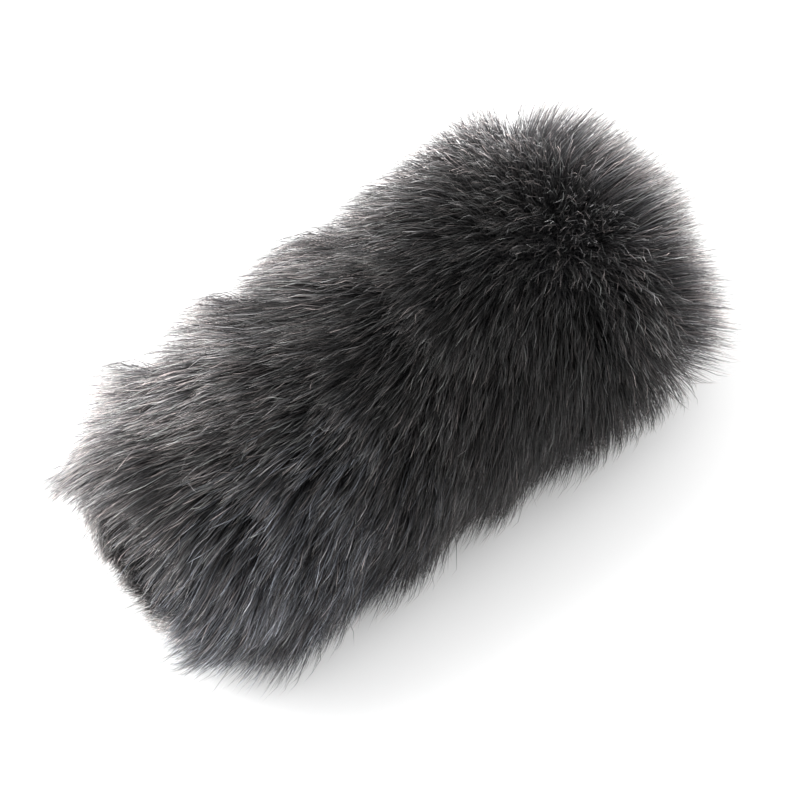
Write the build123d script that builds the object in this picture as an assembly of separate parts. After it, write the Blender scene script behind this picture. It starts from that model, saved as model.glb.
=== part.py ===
from build123d import *

import os
from math import atan2, degrees, hypot

# Slip-on furry windscreen for a short shotgun microphone.
# +X runs along the microphone towards the closed nose, +Z is up, millimetres.
# The origin is on the microphone's axis, at the rear mouth of the grip bore.
# Radii are measured from that axis. Angles run from +Y towards +Z, so 90 is the top.

# Microphone grip
mic_d = 19.0  # tube that the boot grips
grip_length = 18.0  # straight wall of the bore
lead_in_depth = 3.0  # flared entry behind the bore
lead_in_flare = 2.0  # how much wider the entry is, on the radius

# Rubber boot
boot_wall = 6.5  # around the bore
boot_rim = 4.5  # how far the pull flange stands out beyond the shank
boot_flange_t = 4.0
rim_notches = 12
rim_notch_r = 1.8
boot_clearance = 0.3  # between the boot and the ring that holds it

# Rear ring of the basket
ring_flange_t = 3.0
spigot_length = 8.0

# Basket: two half cages and a domed nose cage
air_gap_r = 19.5  # free radius around the microphone
foam_wall = 5.0
cage_wall = 2.5
cover_wall = 1.0  # spacer mesh stretched over the cage
cage_length = 129.7  # from the rear ring's flange to the nose cage
nose_depth = 13.0  # of the foam dome, in front of the cage halves
bar_w = 2.4  # bars and hoops of the cage
rear_hoop_w = 4.0
hoop_count = 9
rib_step = 30.0  # degrees between lengthwise bars
rail_w = 2.6  # bars that meet where the halves join
pin_r = 0.7
pin_length = 3.2
pin_count = 4  # along each joint of the halves
nose_ribs = 8
nose_rim = 2.5
nose_hub_r = 5.0
foam_nose_plug = 6.0  # flat part of the nose foam, inside the cage halves

# Fur jacket
slip = 0.4  # between the basket and the stitching inside the jacket
thread_t = 0.25
tape_t = 0.5
cloth_t = 1.0  # knitted backing that carries the pile
nose_slack = 2.5  # between the basket's nose and the jacket's
panel_dome = 12.0  # how far the sewn nose panel bulges past its seam
tape_w = 7.0
back_tape_w = 10.0
pile_height = 20.0  # combed pile, standing off the backing
crushed_pile = 10.85  # pile under the windscreen, pressed by its weight
nose_pile = 26.0  # pile in front of the nose panel
fringe = 15.0  # pile hanging past the hem
parting_lean = 5.0  # the nose seam's parting leans forward by this
parting_gap = 0.2
pile_edge_r = 36.0  # outer radius of the fringe's end

# Hem
hem_gap = 9.0  # the hem's fold, behind the bore's mouth
casing_w = 12.0
elastic_w = 7.0
elastic_play = 0.05

# Stitching and label
stitch_l = 2.4
stitch_w = 0.5
ring_stitches = 36
back_stitches = 20
label_w = 14.0
label_l = 10.0

# Radii and places that follow from the sizes above
bore_r = mic_d / 2
shank_r = bore_r + boot_wall
flange_r = shank_r + boot_rim
ring_r = shank_r + boot_clearance
foam_r = air_gap_r + foam_wall
cage_r = foam_r + cage_wall
cover_r = cage_r + cover_wall
thread_r = cover_r + slip
tape_r = thread_r + thread_t
cloth_r = tape_r + tape_t
root_r = cloth_r + cloth_t
pile_r = root_r + pile_height

boot_rear = -lead_in_depth
boot_face = boot_rear + boot_flange_t
ring_rear = boot_face + boot_clearance
ring_face = ring_rear + ring_flange_t
spigot_end = ring_face + spigot_length
cage_end = ring_face + cage_length
cover_apex = cage_end + nose_depth + cage_wall + cover_wall
seam_x = cover_apex + nose_slack - panel_dome
panel_apex = seam_x + panel_dome + cloth_t
hem_rear = -hem_gap
hem_front = hem_rear + casing_w
elastic_rear = hem_rear + tape_t + elastic_play
cloth_rear = elastic_rear + elastic_w + elastic_play
fringe_end = hem_rear - fringe
rest_z = -(root_r + crushed_pile)


def ring(x0, x1, r0, r1):
    """A ring of rectangular section between two radii, from x0 to x1."""
    section = Pos((x0 + x1) / 2, (r0 + r1) / 2) * Rectangle(x1 - x0, r1 - r0)
    return revolve(section, Axis.X)


def arc_bar(x0, x1, r0, r1, middle, width):
    """A bar of a ring: the stretch of it around the angle middle, width degrees wide."""
    section = Pos((x0 + x1) / 2, (r0 + r1) / 2) * Rectangle(x1 - x0, r1 - r0)
    return Rot(X=middle - width / 2) * revolve(section, Axis.X, revolution_arc=width)


def turned(*outline):
    """A solid of revolution from points (x, r) joined by straight lines."""
    return revolve(make_face(Polyline(*outline, close=True)), Axis.X)


def dome_arc(x, depth, r):
    """Round outline of a dome, from the axis at x + depth back to the radius r at x."""
    dome_r = (r**2 + depth**2) / (2 * depth)
    return CenterArc((x + depth - dome_r, 0), dome_r, 0, degrees(atan2(r, dome_r - depth)))


def dome_shell(x, depth, r, wall):
    """A dome's wall in front of the plane at x."""
    inner = dome_arc(x, depth, r)
    outer = dome_arc(x, depth + wall, r + wall)
    edge = Line((x, r), (x, r + wall))
    crown = Line((x + depth, 0), (x + depth + wall, 0))
    return revolve(make_face([inner, outer, edge, crown]), Axis.X)


def arc_degrees(length, r):
    """The angle that a length takes up at a radius."""
    return degrees(length / r)


# Boot


def grip_boot():
    """Rubber boot: the microphone pushes into its bore, and its flange is the pull grip."""
    body = turned(
        (boot_rear, bore_r + lead_in_flare),
        (boot_rear, flange_r),
        (boot_face, flange_r),
        (boot_face, shank_r),
        (grip_length, shank_r),
        (grip_length, bore_r),
        (0, bore_r),
    )
    notch = Pos((boot_rear + boot_face) / 2, flange_r, 0) * Rot(Y=90) * Cylinder(rim_notch_r, 2 * boot_flange_t)
    step = 360 / rim_notches
    notches = [Rot(X=(i + 0.5) * step) * notch for i in range(rim_notches)]
    return body - notches


# Basket


def rear_ring():
    """Stiff ring at the basket's mouth: its flange stops the boot, its spigot carries the cage."""
    return turned(
        (ring_rear, ring_r),
        (ring_rear, cover_r),
        (ring_face, cover_r),
        (ring_face, foam_r),
        (spigot_end, foam_r),
        (spigot_end, ring_r),
    )


def hoop_places():
    """The x of each hoop of the cage: its start and its end."""
    pitch = (cage_length - bar_w) / (hoop_count - 1)
    first = (ring_face, ring_face + rear_hoop_w)
    rest = [(ring_face + i * pitch, ring_face + i * pitch + bar_w) for i in range(1, hoop_count)]
    return [first] + rest


def joint_pins():
    """Pins along the top and bottom joints, where the two half cages meet."""
    pitch = cage_length / pin_count
    mid_r = (foam_r + cage_r) / 2
    pin = Rot(X=90) * Cylinder(pin_r, pin_length)
    places = [ring_face + (i + 0.5) * pitch for i in range(pin_count)]
    return [Pos(x, 0, side * mid_r) * pin for side in (1, -1) for x in places]


def half_cage(middle, pins):
    """One half of the cage, on the side at the angle middle: a half tube cut into hoops and bars."""
    tube = arc_bar(ring_face, cage_end, foam_r, cage_r, middle, 180)
    rail = arc_degrees(rail_w, foam_r)
    bar = arc_degrees(bar_w, foam_r)
    bays = round(180 / rib_step)
    windows = []
    hoops = hoop_places()
    for (_, start), (end, _) in zip(hoops, hoops[1:]):
        for i in range(bays):
            low = -90 + i * rib_step + (rail if i == 0 else bar / 2)
            high = -90 + (i + 1) * rib_step - (rail if i == bays - 1 else bar / 2)
            angle = middle + (low + high) / 2
            windows.append(arc_bar(start, end, foam_r - cage_wall, cage_r + cage_wall, angle, high - low))
    return tube - windows - pins


def nose_cage():
    """Domed front of the basket: a rim, ribs and a hub cut from one dome."""
    shell = dome_shell(cage_end, nose_depth, foam_r, cage_wall)
    reach = cage_r + cage_wall
    depth = nose_depth + 2 * cage_wall
    rim = Pos(cage_end + nose_rim / 2, 0, 0) * Box(nose_rim, 2 * reach, 2 * reach)
    hub = Pos(cage_end + depth / 2, 0, 0) * Rot(Y=90) * Cylinder(nose_hub_r, depth)
    bar = Pos(cage_end + depth / 2, 0, 0) * Box(depth, 2 * reach, bar_w)
    bars = [Rot(X=i * 360 / nose_ribs) * bar for i in range(nose_ribs // 2)]
    return shell & (rim + hub + bars)


def foam_sleeve():
    """Open-cell foam tube that lines the cage around the microphone."""
    return ring(spigot_end, cage_end - foam_nose_plug, air_gap_r, foam_r)


def foam_nose():
    """Domed foam plug that closes the front of the air space."""
    back = cage_end - foam_nose_plug
    plug = ring(back, cage_end, 0, foam_r)
    dome = dome_arc(cage_end, nose_depth, foam_r)
    sides = Polyline((cage_end, foam_r), (cage_end, 0), (cage_end + nose_depth, 0))
    return plug + revolve(make_face([dome, sides]), Axis.X)


def mesh_cover():
    """Spacer mesh stocking over the cage, closed at the nose."""
    return ring(ring_face, cage_end, cage_r, cover_r) + dome_shell(
        cage_end, nose_depth + cage_wall, cage_r, cover_wall
    )


# Jacket


def backing_sleeve():
    """Knitted cloth tube that the pile of the sleeve grows from."""
    return ring(cloth_rear, seam_x, cloth_r, root_r)


def backing_nose():
    """Round knitted panel sewn across the front of the sleeve."""
    return dome_shell(seam_x, panel_dome, cloth_r, cloth_t)


def nose_seam_tape():
    """Tape that covers the nose seam on the inside."""
    return ring(seam_x - tape_w, seam_x, tape_r, cloth_r)


def back_seam_tape():
    """Tape along the lengthwise seam, on the inside at the bottom."""
    width = arc_degrees(back_tape_w, cloth_r)
    return arc_bar(hem_front, seam_x - tape_w, tape_r, cloth_r, -90, width)


def hem_casing():
    """Folded tape around the mouth: two layers and the fold that joins them."""
    return turned(
        (hem_rear, tape_r),
        (hem_front, tape_r),
        (hem_front, cloth_r),
        (hem_rear + tape_t, cloth_r),
        (hem_rear + tape_t, root_r),
        (hem_front, root_r),
        (hem_front, root_r + tape_t),
        (hem_rear, root_r + tape_t),
    )


def hem_elastic():
    """Flat elastic inside the casing, which draws the mouth onto the basket."""
    return ring(
        elastic_rear, elastic_rear + elastic_w, cloth_r + elastic_play, root_r - elastic_play
    )


def ring_of_stitches(x):
    """Stitches around the inside of the jacket at x."""
    width = arc_degrees(stitch_l, tape_r)
    step = 360 / ring_stitches
    return [
        arc_bar(x - stitch_w / 2, x + stitch_w / 2, thread_r, tape_r, i * step, width)
        for i in range(ring_stitches)
    ]


def back_seam_stitches():
    """Two rows of stitches that hold the tape of the lengthwise seam."""
    row_angle = arc_degrees(back_tape_w / 2 - 3 * stitch_w, tape_r)
    width = arc_degrees(stitch_w, tape_r)
    start = hem_front
    pitch = (seam_x - tape_w - start) / back_stitches
    return [
        arc_bar(x - stitch_l / 2, x + stitch_l / 2, thread_r, tape_r, -90 + side * row_angle, width)
        for side in (1, -1)
        for x in [start + (i + 0.5) * pitch for i in range(back_stitches)]
    ]


def woven_label():
    """Small blank label caught in the hem beside the lengthwise seam."""
    width = arc_degrees(label_w, cloth_r)
    beside_seam = -90 + arc_degrees(back_tape_w, cloth_r) + width / 2
    return arc_bar(hem_rear - label_l, hem_rear, tape_r, cloth_r, beside_seam, width)


def above_the_rest(solid):
    """The solid with everything under the surface that it lies on cut away."""
    reach = 2 * (panel_apex + nose_pile - fringe_end)
    below = Pos(0, 0, rest_z - reach / 2) * Box(reach, reach, reach)
    return solid - below


def fur_sleeve():
    """Pile of the sleeve, combed back towards the mouth and hanging past it as a fringe."""
    front_x = seam_x + parting_lean
    length = front_x - fringe_end
    coat = Spline(
        (fringe_end, pile_edge_r),
        (fringe_end + 0.4 * fringe, root_r + 0.68 * pile_height),
        (fringe_end + 1.6 * fringe, root_r + 0.92 * pile_height),
        (fringe_end + 0.6 * length, pile_r),
        (front_x, root_r + 0.87 * pile_height),
    )
    inside = Polyline(
        (front_x, root_r + 0.87 * pile_height),
        (seam_x, root_r),
        (hem_front, root_r),
        (hem_front, root_r + tape_t),
        (hem_rear, root_r + tape_t),
        (hem_rear, cloth_r),
        (fringe_end, cloth_r),
        (fringe_end, pile_edge_r),
    )
    return above_the_rest(revolve(make_face([coat, inside]), Axis.X))


def fur_nose():
    """Pile of the nose panel, which stands forwards and outwards from it."""
    tip_x = panel_apex + nose_pile
    edge_r = root_r + 0.87 * pile_height
    edge = (seam_x + parting_lean + parting_gap, edge_r)
    root = (seam_x + parting_gap, root_r)
    slope = hypot(parting_lean, edge_r - root_r)
    coat = Spline(
        edge,
        (seam_x + 0.66 * (tip_x - seam_x), 0.72 * edge_r),
        (tip_x, 0),
        tangents=[(1, -parting_lean / slope), (0, -1)],
    )
    cloth = dome_arc(seam_x, panel_dome + cloth_t + parting_gap, root_r)
    sides = Polyline((seam_x, root_r), root, edge)
    crown = Line((tip_x, 0), (panel_apex + parting_gap, 0))
    return above_the_rest(revolve(make_face([coat, cloth, sides, crown]), Axis.X))


def all_pieces():
    """Every piece by name."""
    pins = joint_pins()
    return {
        "grip_boot": grip_boot(),
        "rear_ring": rear_ring(),
        "basket_half_left": half_cage(0, pins),
        "basket_half_right": half_cage(180, pins),
        "basket_pins": Compound(children=pins),
        "basket_nose": nose_cage(),
        "foam_sleeve": foam_sleeve(),
        "foam_nose": foam_nose(),
        "mesh_cover": mesh_cover(),
        "backing_sleeve": backing_sleeve(),
        "backing_nose": backing_nose(),
        "nose_seam_tape": nose_seam_tape(),
        "nose_seam_stitches": Compound(children=ring_of_stitches(seam_x - tape_w / 2)),
        "back_seam_tape": back_seam_tape(),
        "back_seam_stitches": Compound(children=back_seam_stitches()),
        "hem_casing": hem_casing(),
        "hem_elastic": hem_elastic(),
        "hem_stitches": Compound(children=ring_of_stitches(hem_front - 1.5 * stitch_w)),
        "woven_label": woven_label(),
        "fur_sleeve": fur_sleeve(),
        "fur_nose": fur_nose(),
    }


os.makedirs("parts", exist_ok=True)
for name, piece in all_pieces().items():
    piece.label = name
    export_step(piece, f"parts/{name}.step")
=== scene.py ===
"""Looks of a slip-on furry windscreen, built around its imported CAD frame."""

import logging
import math
from collections.abc import Callable
from dataclasses import dataclass
from enum import Enum

import bmesh
import bpy
import numpy as np
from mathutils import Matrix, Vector, kdtree


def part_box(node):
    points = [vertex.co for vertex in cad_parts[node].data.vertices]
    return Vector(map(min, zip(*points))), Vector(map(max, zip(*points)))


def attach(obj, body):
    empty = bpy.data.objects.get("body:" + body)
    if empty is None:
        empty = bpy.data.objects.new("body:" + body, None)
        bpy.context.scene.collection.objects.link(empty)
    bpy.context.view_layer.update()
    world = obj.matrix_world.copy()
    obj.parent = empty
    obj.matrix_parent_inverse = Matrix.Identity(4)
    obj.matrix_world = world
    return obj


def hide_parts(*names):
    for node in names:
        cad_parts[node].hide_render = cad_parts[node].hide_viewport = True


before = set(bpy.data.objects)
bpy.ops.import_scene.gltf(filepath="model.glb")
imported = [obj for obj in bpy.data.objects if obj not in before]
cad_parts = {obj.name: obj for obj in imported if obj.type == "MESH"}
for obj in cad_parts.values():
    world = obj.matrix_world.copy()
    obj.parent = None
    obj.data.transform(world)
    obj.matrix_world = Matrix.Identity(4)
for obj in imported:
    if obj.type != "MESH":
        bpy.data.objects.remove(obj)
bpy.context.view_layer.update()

Piece = bpy.types.Object
Socket = bpy.types.NodeSocket
Rng = np.random.Generator
Colour = tuple[float, float, float]

LOG = logging.getLogger("windscreen")
MM = 0.001
TURN = 2.0 * math.pi


# Measures taken from the frame


@dataclass(frozen=True)
class Measures:
    """Places of the jacket's cloth and pile, in metres, read from the frame.

    Attributes:
        root_r: radius of the cloth that the pile grows from.
        hem_rear: x of the hem's fold.
        seam_x: x of the nose seam.
        panel_apex: x of the nose panel's middle.
        rest_z: height of the surface that the windscreen lies on.
    """

    root_r: float
    hem_rear: float
    seam_x: float
    panel_apex: float
    rest_z: float

    @classmethod
    def from_frame(cls) -> "Measures":
        """Read the measures from the CAD nodes' boxes."""
        sleeve_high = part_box("backing_sleeve")[1]
        panel_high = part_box("backing_nose")[1]
        hem_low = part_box("hem_casing")[0]
        pile_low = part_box("fur_sleeve")[0]
        return cls(
            root_r=sleeve_high.z,
            hem_rear=hem_low.x,
            seam_x=sleeve_high.x,
            panel_apex=panel_high.x,
            rest_z=pile_low.z,
        )

    @property
    def girth(self) -> float:
        """Distance round the cloth."""
        return TURN * self.root_r


# Pile


class Coat(Enum):
    """The kinds of hair in the pile."""

    GUARD = "guard"
    BODY = "body"
    UNDER = "under"


@dataclass(frozen=True)
class HairKind:
    """Size and shape of one kind of hair.

    Attributes:
        length: mean length along the hair, in metres.
        spread: how much the length varies, as a share of it.
        stations: places along the hair, from 0 at the root to 1 at the tip.
        radii: radius at each station, in metres.
        tone: mean place in the colour map, 0 dark to 1 pale.
        crimp: sideways wave of the hair, in metres.
    """

    length: float
    spread: float
    stations: tuple[float, ...]
    radii: tuple[float, ...]
    tone: float
    crimp: float


HAIR_KINDS = {
    Coat.GUARD: HairKind(
        length=28.5 * MM,
        spread=0.2,
        stations=(0.0, 0.3, 0.6, 0.84, 1.0),
        radii=(0.09 * MM, 0.11 * MM, 0.088 * MM, 0.05 * MM, 0.0),
        tone=0.5,
        crimp=0.45 * MM,
    ),
    Coat.BODY: HairKind(
        length=26.0 * MM,
        spread=0.18,
        stations=(0.0, 0.4, 0.75, 1.0),
        radii=(0.09 * MM, 0.11 * MM, 0.075 * MM, 0.0),
        tone=0.36,
        crimp=0.6 * MM,
    ),
    Coat.UNDER: HairKind(
        length=16.0 * MM,
        spread=0.15,
        stations=(0.0, 0.5, 1.0),
        radii=(0.12 * MM, 0.1 * MM, 0.0),
        tone=0.15,
        crimp=1.4 * MM,
    ),
}


def smooth_step(value: np.ndarray, low: float, high: float) -> np.ndarray:
    """Rise smoothly from 0 at low to 1 at high.

    Args:
        value: where to read the step.
        low: where the step starts.
        high: where the step ends.

    Returns:
        The step's height at each value.
    """
    part = np.clip((value - low) / (high - low), 0.0, 1.0)
    return part * part * (3.0 - 2.0 * part)


def unit(vectors: np.ndarray) -> np.ndarray:
    """Scale each vector of the last axis to length 1."""
    return vectors / np.maximum(np.linalg.norm(vectors, axis=-1, keepdims=True), 1e-9)


def outward(angle: np.ndarray) -> np.ndarray:
    """Directions away from the axis, at angles from +Y towards +Z."""
    return np.stack([np.zeros(angle.size), np.cos(angle), np.sin(angle)], axis=1)


def dome_radius(edge_r: float, depth: float) -> float:
    """Radius of the ball whose cap has the given edge and depth."""
    return (edge_r**2 + depth**2) / (2.0 * depth)


@dataclass(frozen=True)
class Ripples:
    """A smooth random field made of plane waves, about -1 to 1.

    Attributes:
        seed: of the waves' directions and phases.
        wavelength: mean length of a wave, in metres.
        waves: how many are added up.
    """

    seed: int
    wavelength: float
    waves: int = 7

    def at(self, points: np.ndarray) -> np.ndarray:
        """Read the field.

        Args:
            points: places, one a row.

        Returns:
            The field's value at each place.
        """
        rng = np.random.default_rng(self.seed)
        directions = unit(rng.normal(size=(self.waves, 3)))
        lengths = self.wavelength * rng.uniform(0.6, 1.6, self.waves)
        phases = rng.uniform(0.0, TURN, self.waves)
        turns = points @ (directions / lengths[:, None]).T * TURN + phases
        return np.sin(turns).sum(axis=1) / math.sqrt(self.waves)


@dataclass
class Roots:
    """Where hairs grow and how they lie.

    Attributes:
        places: root of each hair.
        start: direction at the root.
        end: direction at the tip.
        length: length of each hair.
        paler: added to the hair's tone; much of it is painted light and painted shade, set in each pile's
            grow.
        cool: chance that the hair has the cool dye.
    """

    places: np.ndarray
    start: np.ndarray
    end: np.ndarray
    length: np.ndarray
    paler: np.ndarray
    cool: np.ndarray

    def paths(self, stations: np.ndarray) -> np.ndarray:
        """Follow each hair from root to tip.

        Args:
            stations: places along the hair, 0 to 1.

        Returns:
            Points, hair by station by coordinate.
        """
        steps = np.diff(stations)
        middles = (stations[:-1] + stations[1:]) / 2.0
        points = [self.places]
        for step, middle in zip(steps, middles):
            turn = middle**0.9
            heading = unit(self.start * (1.0 - turn) + self.end * turn)
            points.append(points[-1] + heading * (self.length * step)[:, None])
        return np.stack(points, axis=1)


@dataclass(frozen=True)
class Pile:
    """A part of the jacket that hair grows on.

    Attributes:
        sizes: the frame's measures.
    """

    sizes: Measures

    @property
    def area(self) -> float:
        """Area that the hair grows on, in square metres."""
        raise NotImplementedError

    def scatter(self, count: int, rng: Rng) -> tuple[np.ndarray, np.ndarray]:
        """Spread roots evenly over the part.

        Args:
            count: about how many roots.
            rng: the random numbers.

        Returns:
            Where each root is: its x on the sleeve, or else its radius as a share of the
            cloth's; and its angle about the axis, from +Y towards +Z.
        """
        raise NotImplementedError

    def grow(self, at: np.ndarray, angle: np.ndarray, length: float, rng: Rng) -> Roots:
        """Lay hairs on the part.

        Args:
            at: where each root is, as scatter gives it.
            angle: of each root about the axis.
            length: mean length of a hair.
            rng: the random numbers.

        Returns:
            The hairs' roots and directions.
        """
        raise NotImplementedError


# How far hair rises from the cloth, by its place from the hem, 0, to the nose seam, 1
STAND_PLACES = (0.0, 0.06, 0.16, 0.5, 0.78, 0.9, 1.0)
STAND_RISES = (0.0, 0.3, 0.55, 0.64, 0.66, 0.76, 0.9)


@dataclass(frozen=True)
class SleevePile(Pile):
    """How the pile of the sleeve lies.

    Attributes:
        fall_left: how much the hair falls down the left side.
        fall_right: how much the hair falls down the right side.
        swirl: how much the front was brushed round to the right side.
        shoulder: how far the hair at the nose seam leans forward, in degrees.
        bulge_x: where the left side is fullest.
        overhang: angle about the axis at which hair hangs furthest over the mouth, in degrees.
        lift: how much more steeply hair leaves the cloth than it lies.
        curl: how much flatter its tip lies.
        trimmed: how much shorter hair at the hem is.
        hanging: how much of its length it has back where it hangs over the mouth.
        fuller: how much longer hair on the left is.
        bulge: how much longer still it is at bulge_x.
    """

    fall_left: float = 0.12
    fall_right: float = 0.34
    swirl: float = 0.34
    shoulder: float = 42.0
    bulge_x: float = 78.0 * MM
    overhang: float = 112.0
    lift: float = 0.24
    curl: float = 0.3
    trimmed: float = 0.44
    hanging: float = 0.66
    fuller: float = 0.16
    bulge: float = 0.14

    @property
    def area(self) -> float:
        """Area of the sleeve, in square metres."""
        return self.sizes.girth * (self.sizes.seam_x - self.sizes.hem_rear)

    def scatter(self, count: int, rng: Rng) -> tuple[np.ndarray, np.ndarray]:
        """Spread roots in rows and columns, each moved within its own place."""
        length = self.sizes.seam_x - self.sizes.hem_rear
        girth = self.sizes.girth
        pitch = math.sqrt(length * girth / count)
        rows = round(length / pitch)
        columns = round(girth / pitch)
        row, column = np.meshgrid(np.arange(rows), np.arange(columns), indexing="ij")
        x = (row.ravel() + rng.uniform(0.0, 1.0, row.size)) / rows
        angle = (column.ravel() + rng.uniform(0.0, 1.0, row.size)) / columns
        return self.sizes.hem_rear + x * length, angle * TURN

    def grow(self, at: np.ndarray, angle: np.ndarray, length: float, rng: Rng) -> Roots:
        """Comb the hair back, over the mouth at the hem and ruffled at the nose seam."""
        sizes = self.sizes
        x, count = at, at.size
        out = outward(angle)
        round_way = np.stack([np.zeros(count), -np.sin(angle), np.cos(angle)], axis=1)
        ahead = np.tile([1.0, 0.0, 0.0], (count, 1))
        places = out * sizes.root_r
        places[:, 0] = x
        along = (x - sizes.hem_rear) / (sizes.seam_x - sizes.hem_rear)
        near_seam = smooth_step(x, sizes.seam_x - 30.0 * MM, sizes.seam_x + 3.0 * MM)
        tilt = math.radians(self.shoulder) * near_seam[:, None]
        normal = out * np.cos(tilt) + ahead * np.sin(tilt)
        back_way = out * np.sin(tilt) - ahead * np.cos(tilt)

        stand = np.interp(along, STAND_PLACES, STAND_RISES)
        ruffle = smooth_step(along, 0.8, 1.0)
        left = np.cos(angle)
        parted = smooth_step(left, 0.72, 0.95) * (1.0 - smooth_step(along, 0.08, 0.3))
        stand = stand + 0.12 * Ripples(11, 23.0 * MM).at(places) + 0.25 * parted
        stand = stand + rng.normal(0.0, 1.0, count) * (0.05 + 0.13 * ruffle)
        side = self.swirl * smooth_step(along, 0.5, 0.85) - 0.35 * parted
        side = side - left * np.where(left > 0.0, self.fall_left, self.fall_right)
        side = side + 0.2 * Ripples(12, 36.0 * MM).at(places)
        side = side + rng.normal(0.0, 1.0, count) * (0.07 + 0.32 * ruffle)
        lay = unit(back_way + round_way * side[:, None])

        def heading(rise: np.ndarray) -> np.ndarray:
            """Direction that rises from the cloth by the given share."""
            rise = np.clip(rise, -0.85, 0.995)[:, None]
            return normal * rise + lay * np.sqrt(1.0 - rise * rise)

        fringe = 1.0 - smooth_step(along, 0.02, 0.17)
        over = smooth_step(np.cos(angle - math.radians(self.overhang)), -0.4, 0.5)
        lengths = 1.0 + 0.07 * Ripples(13, 20.0 * MM).at(places)
        bulge = np.exp(-(((x - self.bulge_x) / (16.0 * MM)) ** 2)) * smooth_step(left, 0.3, 0.9)
        longer = fringe * (self.hanging * over - self.trimmed) + self.bulge * bulge
        lengths = lengths * (1.0 + longer + self.fuller * smooth_step(left, 0.2, 0.8))
        lengths = lengths * (1.0 - fringe * rng.uniform(0.0, 0.45, count) * (1.0 - 0.4 * over))
        # Tone added to each hair, largely painted light: paler towards the left side, a painted glow of
        # hair backlit from the left; darker through the middle and the front, painted shade of the dark
        # roots seen where the hair stands up; paler at the rear and its fringe, a painted sheen of hair
        # lying flat. It is also paler near the nose seam.
        pale = 0.04 + 0.14 * fringe - 0.22 * smooth_step(along, 0.2, 0.55)
        pale = pale - 0.08 * smooth_step(along, 0.55, 0.8)
        pale = pale + 0.36 * ruffle**2 + 0.5 * smooth_step(left, -0.1, 0.9)
        cool = (1.0 - smooth_step(along, 0.3, 0.6)) * smooth_step(-left, 0.1, 0.7)
        end = heading(stand - self.curl - fringe * (0.5 - 0.42 * over))
        end[:, 2] -= fringe * (0.8 - 0.52 * over) * np.maximum(0.0, 0.35 + np.sin(angle))
        return Roots(places, heading(stand + self.lift), unit(end), lengths * length, pale, cool)


@dataclass(frozen=True)
class NosePile(Pile):
    """How the pile of the nose panel lies.

    Attributes:
        brushed: how much it was brushed to the right side.
        droop: how much it falls.
    """

    brushed: float = 0.36
    droop: float = 0.2

    @property
    def area(self) -> float:
        """Area of the panel laid flat, in square metres."""
        return self.sizes.girth * self.sizes.root_r / 2.0

    def scatter(self, count: int, rng: Rng) -> tuple[np.ndarray, np.ndarray]:
        """Spread roots over the round panel on a spiral."""
        golden = math.pi * (3.0 - math.sqrt(5.0))
        index = np.arange(count)
        share = np.sqrt((index + rng.uniform(0.0, 1.0, count)) / count)
        return share, index * golden + rng.normal(0.0, 0.02, count)

    def grow(self, at: np.ndarray, angle: np.ndarray, length: float, rng: Rng) -> Roots:
        """Brush the hair out from the panel's middle."""
        sizes = self.sizes
        share, count = at, at.size
        dome_r = dome_radius(sizes.root_r, sizes.panel_apex - sizes.seam_x)
        out = outward(angle)
        radius = share * sizes.root_r
        places = out * radius[:, None]
        places[:, 0] = sizes.panel_apex - dome_r + np.sqrt(dome_r**2 - radius**2)
        normal = unit(places - np.array([sizes.panel_apex - dome_r, 0.0, 0.0]))
        wander = rng.normal(0.0, 0.13, (count, 3))
        for axis, seed in ((1, 21), (2, 22)):
            wander[:, axis] += 0.16 * Ripples(seed, 24.0 * MM).at(places)
        start = unit(normal + wander * 0.5)
        end = normal + 0.12 * np.array([1.0, 0.0, 0.0]) * share[:, None] + wander
        end[:, 1] -= self.brushed
        end[:, 2] -= self.droop
        lengths = length * (1.0 + 0.14 * share**2 + 0.06 * Ripples(23, 18.0 * MM).at(places))
        # Tone of the nose hair: paler towards the left side, +Y, as painted light, the glow of hair backlit
        # from the left; it is also paler towards the rim.
        pale = 0.32 + 0.08 * share**2 + 0.26 * smooth_step(out[:, 1] * share, 0.1, 0.95)
        return Roots(places, start, unit(end), lengths, pale, np.zeros(count))


@dataclass(frozen=True)
class MouthPile(Pile):
    """Hair caught in the hem's fold, which closes in over the mouth.

    Attributes:
        fold: depth of cloth in the fold that hair grows on.
        reach: length of this hair, as a share of the rest's.
        inward: how far it leans towards the axis.
    """

    fold: float = 8.0 * MM
    reach: float = 0.5
    inward: float = 0.52

    @property
    def area(self) -> float:
        """Area of the fold, in square metres."""
        return self.sizes.girth * self.fold

    def scatter(self, count: int, rng: Rng) -> tuple[np.ndarray, np.ndarray]:
        """Spread roots round the fold."""
        angle = (np.arange(count) + rng.uniform(0.0, 1.0, count)) * TURN / count
        return rng.uniform(0.965, 1.01, count), angle

    def grow(self, at: np.ndarray, angle: np.ndarray, length: float, rng: Rng) -> Roots:
        """Lay the hair back from the fold and in towards the axis."""
        count = at.size
        out = outward(angle)
        back = np.tile([-1.0, 0.0, 0.0], (count, 1))
        places = out * (at * self.sizes.root_r)[:, None] + back * -self.sizes.hem_rear
        wander = rng.normal(0.0, 0.13, (count, 3))
        for axis, seed in ((1, 51), (2, 52)):
            wander[:, axis] += 0.16 * Ripples(seed, 15.0 * MM).at(places)
        start = unit(back + out * 0.15 + wander)
        end = unit(back - out * 2.0 * self.inward + wander)
        end[:, 2] -= 0.2
        # The mouth's hair is given a pale tone, painted light that lightens the shade inside the mouth.
        lengths, pale = np.full(count, length * self.reach), np.full(count, 0.36)
        return Roots(places, start, unit(end), lengths, pale, np.zeros(count))


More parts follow.
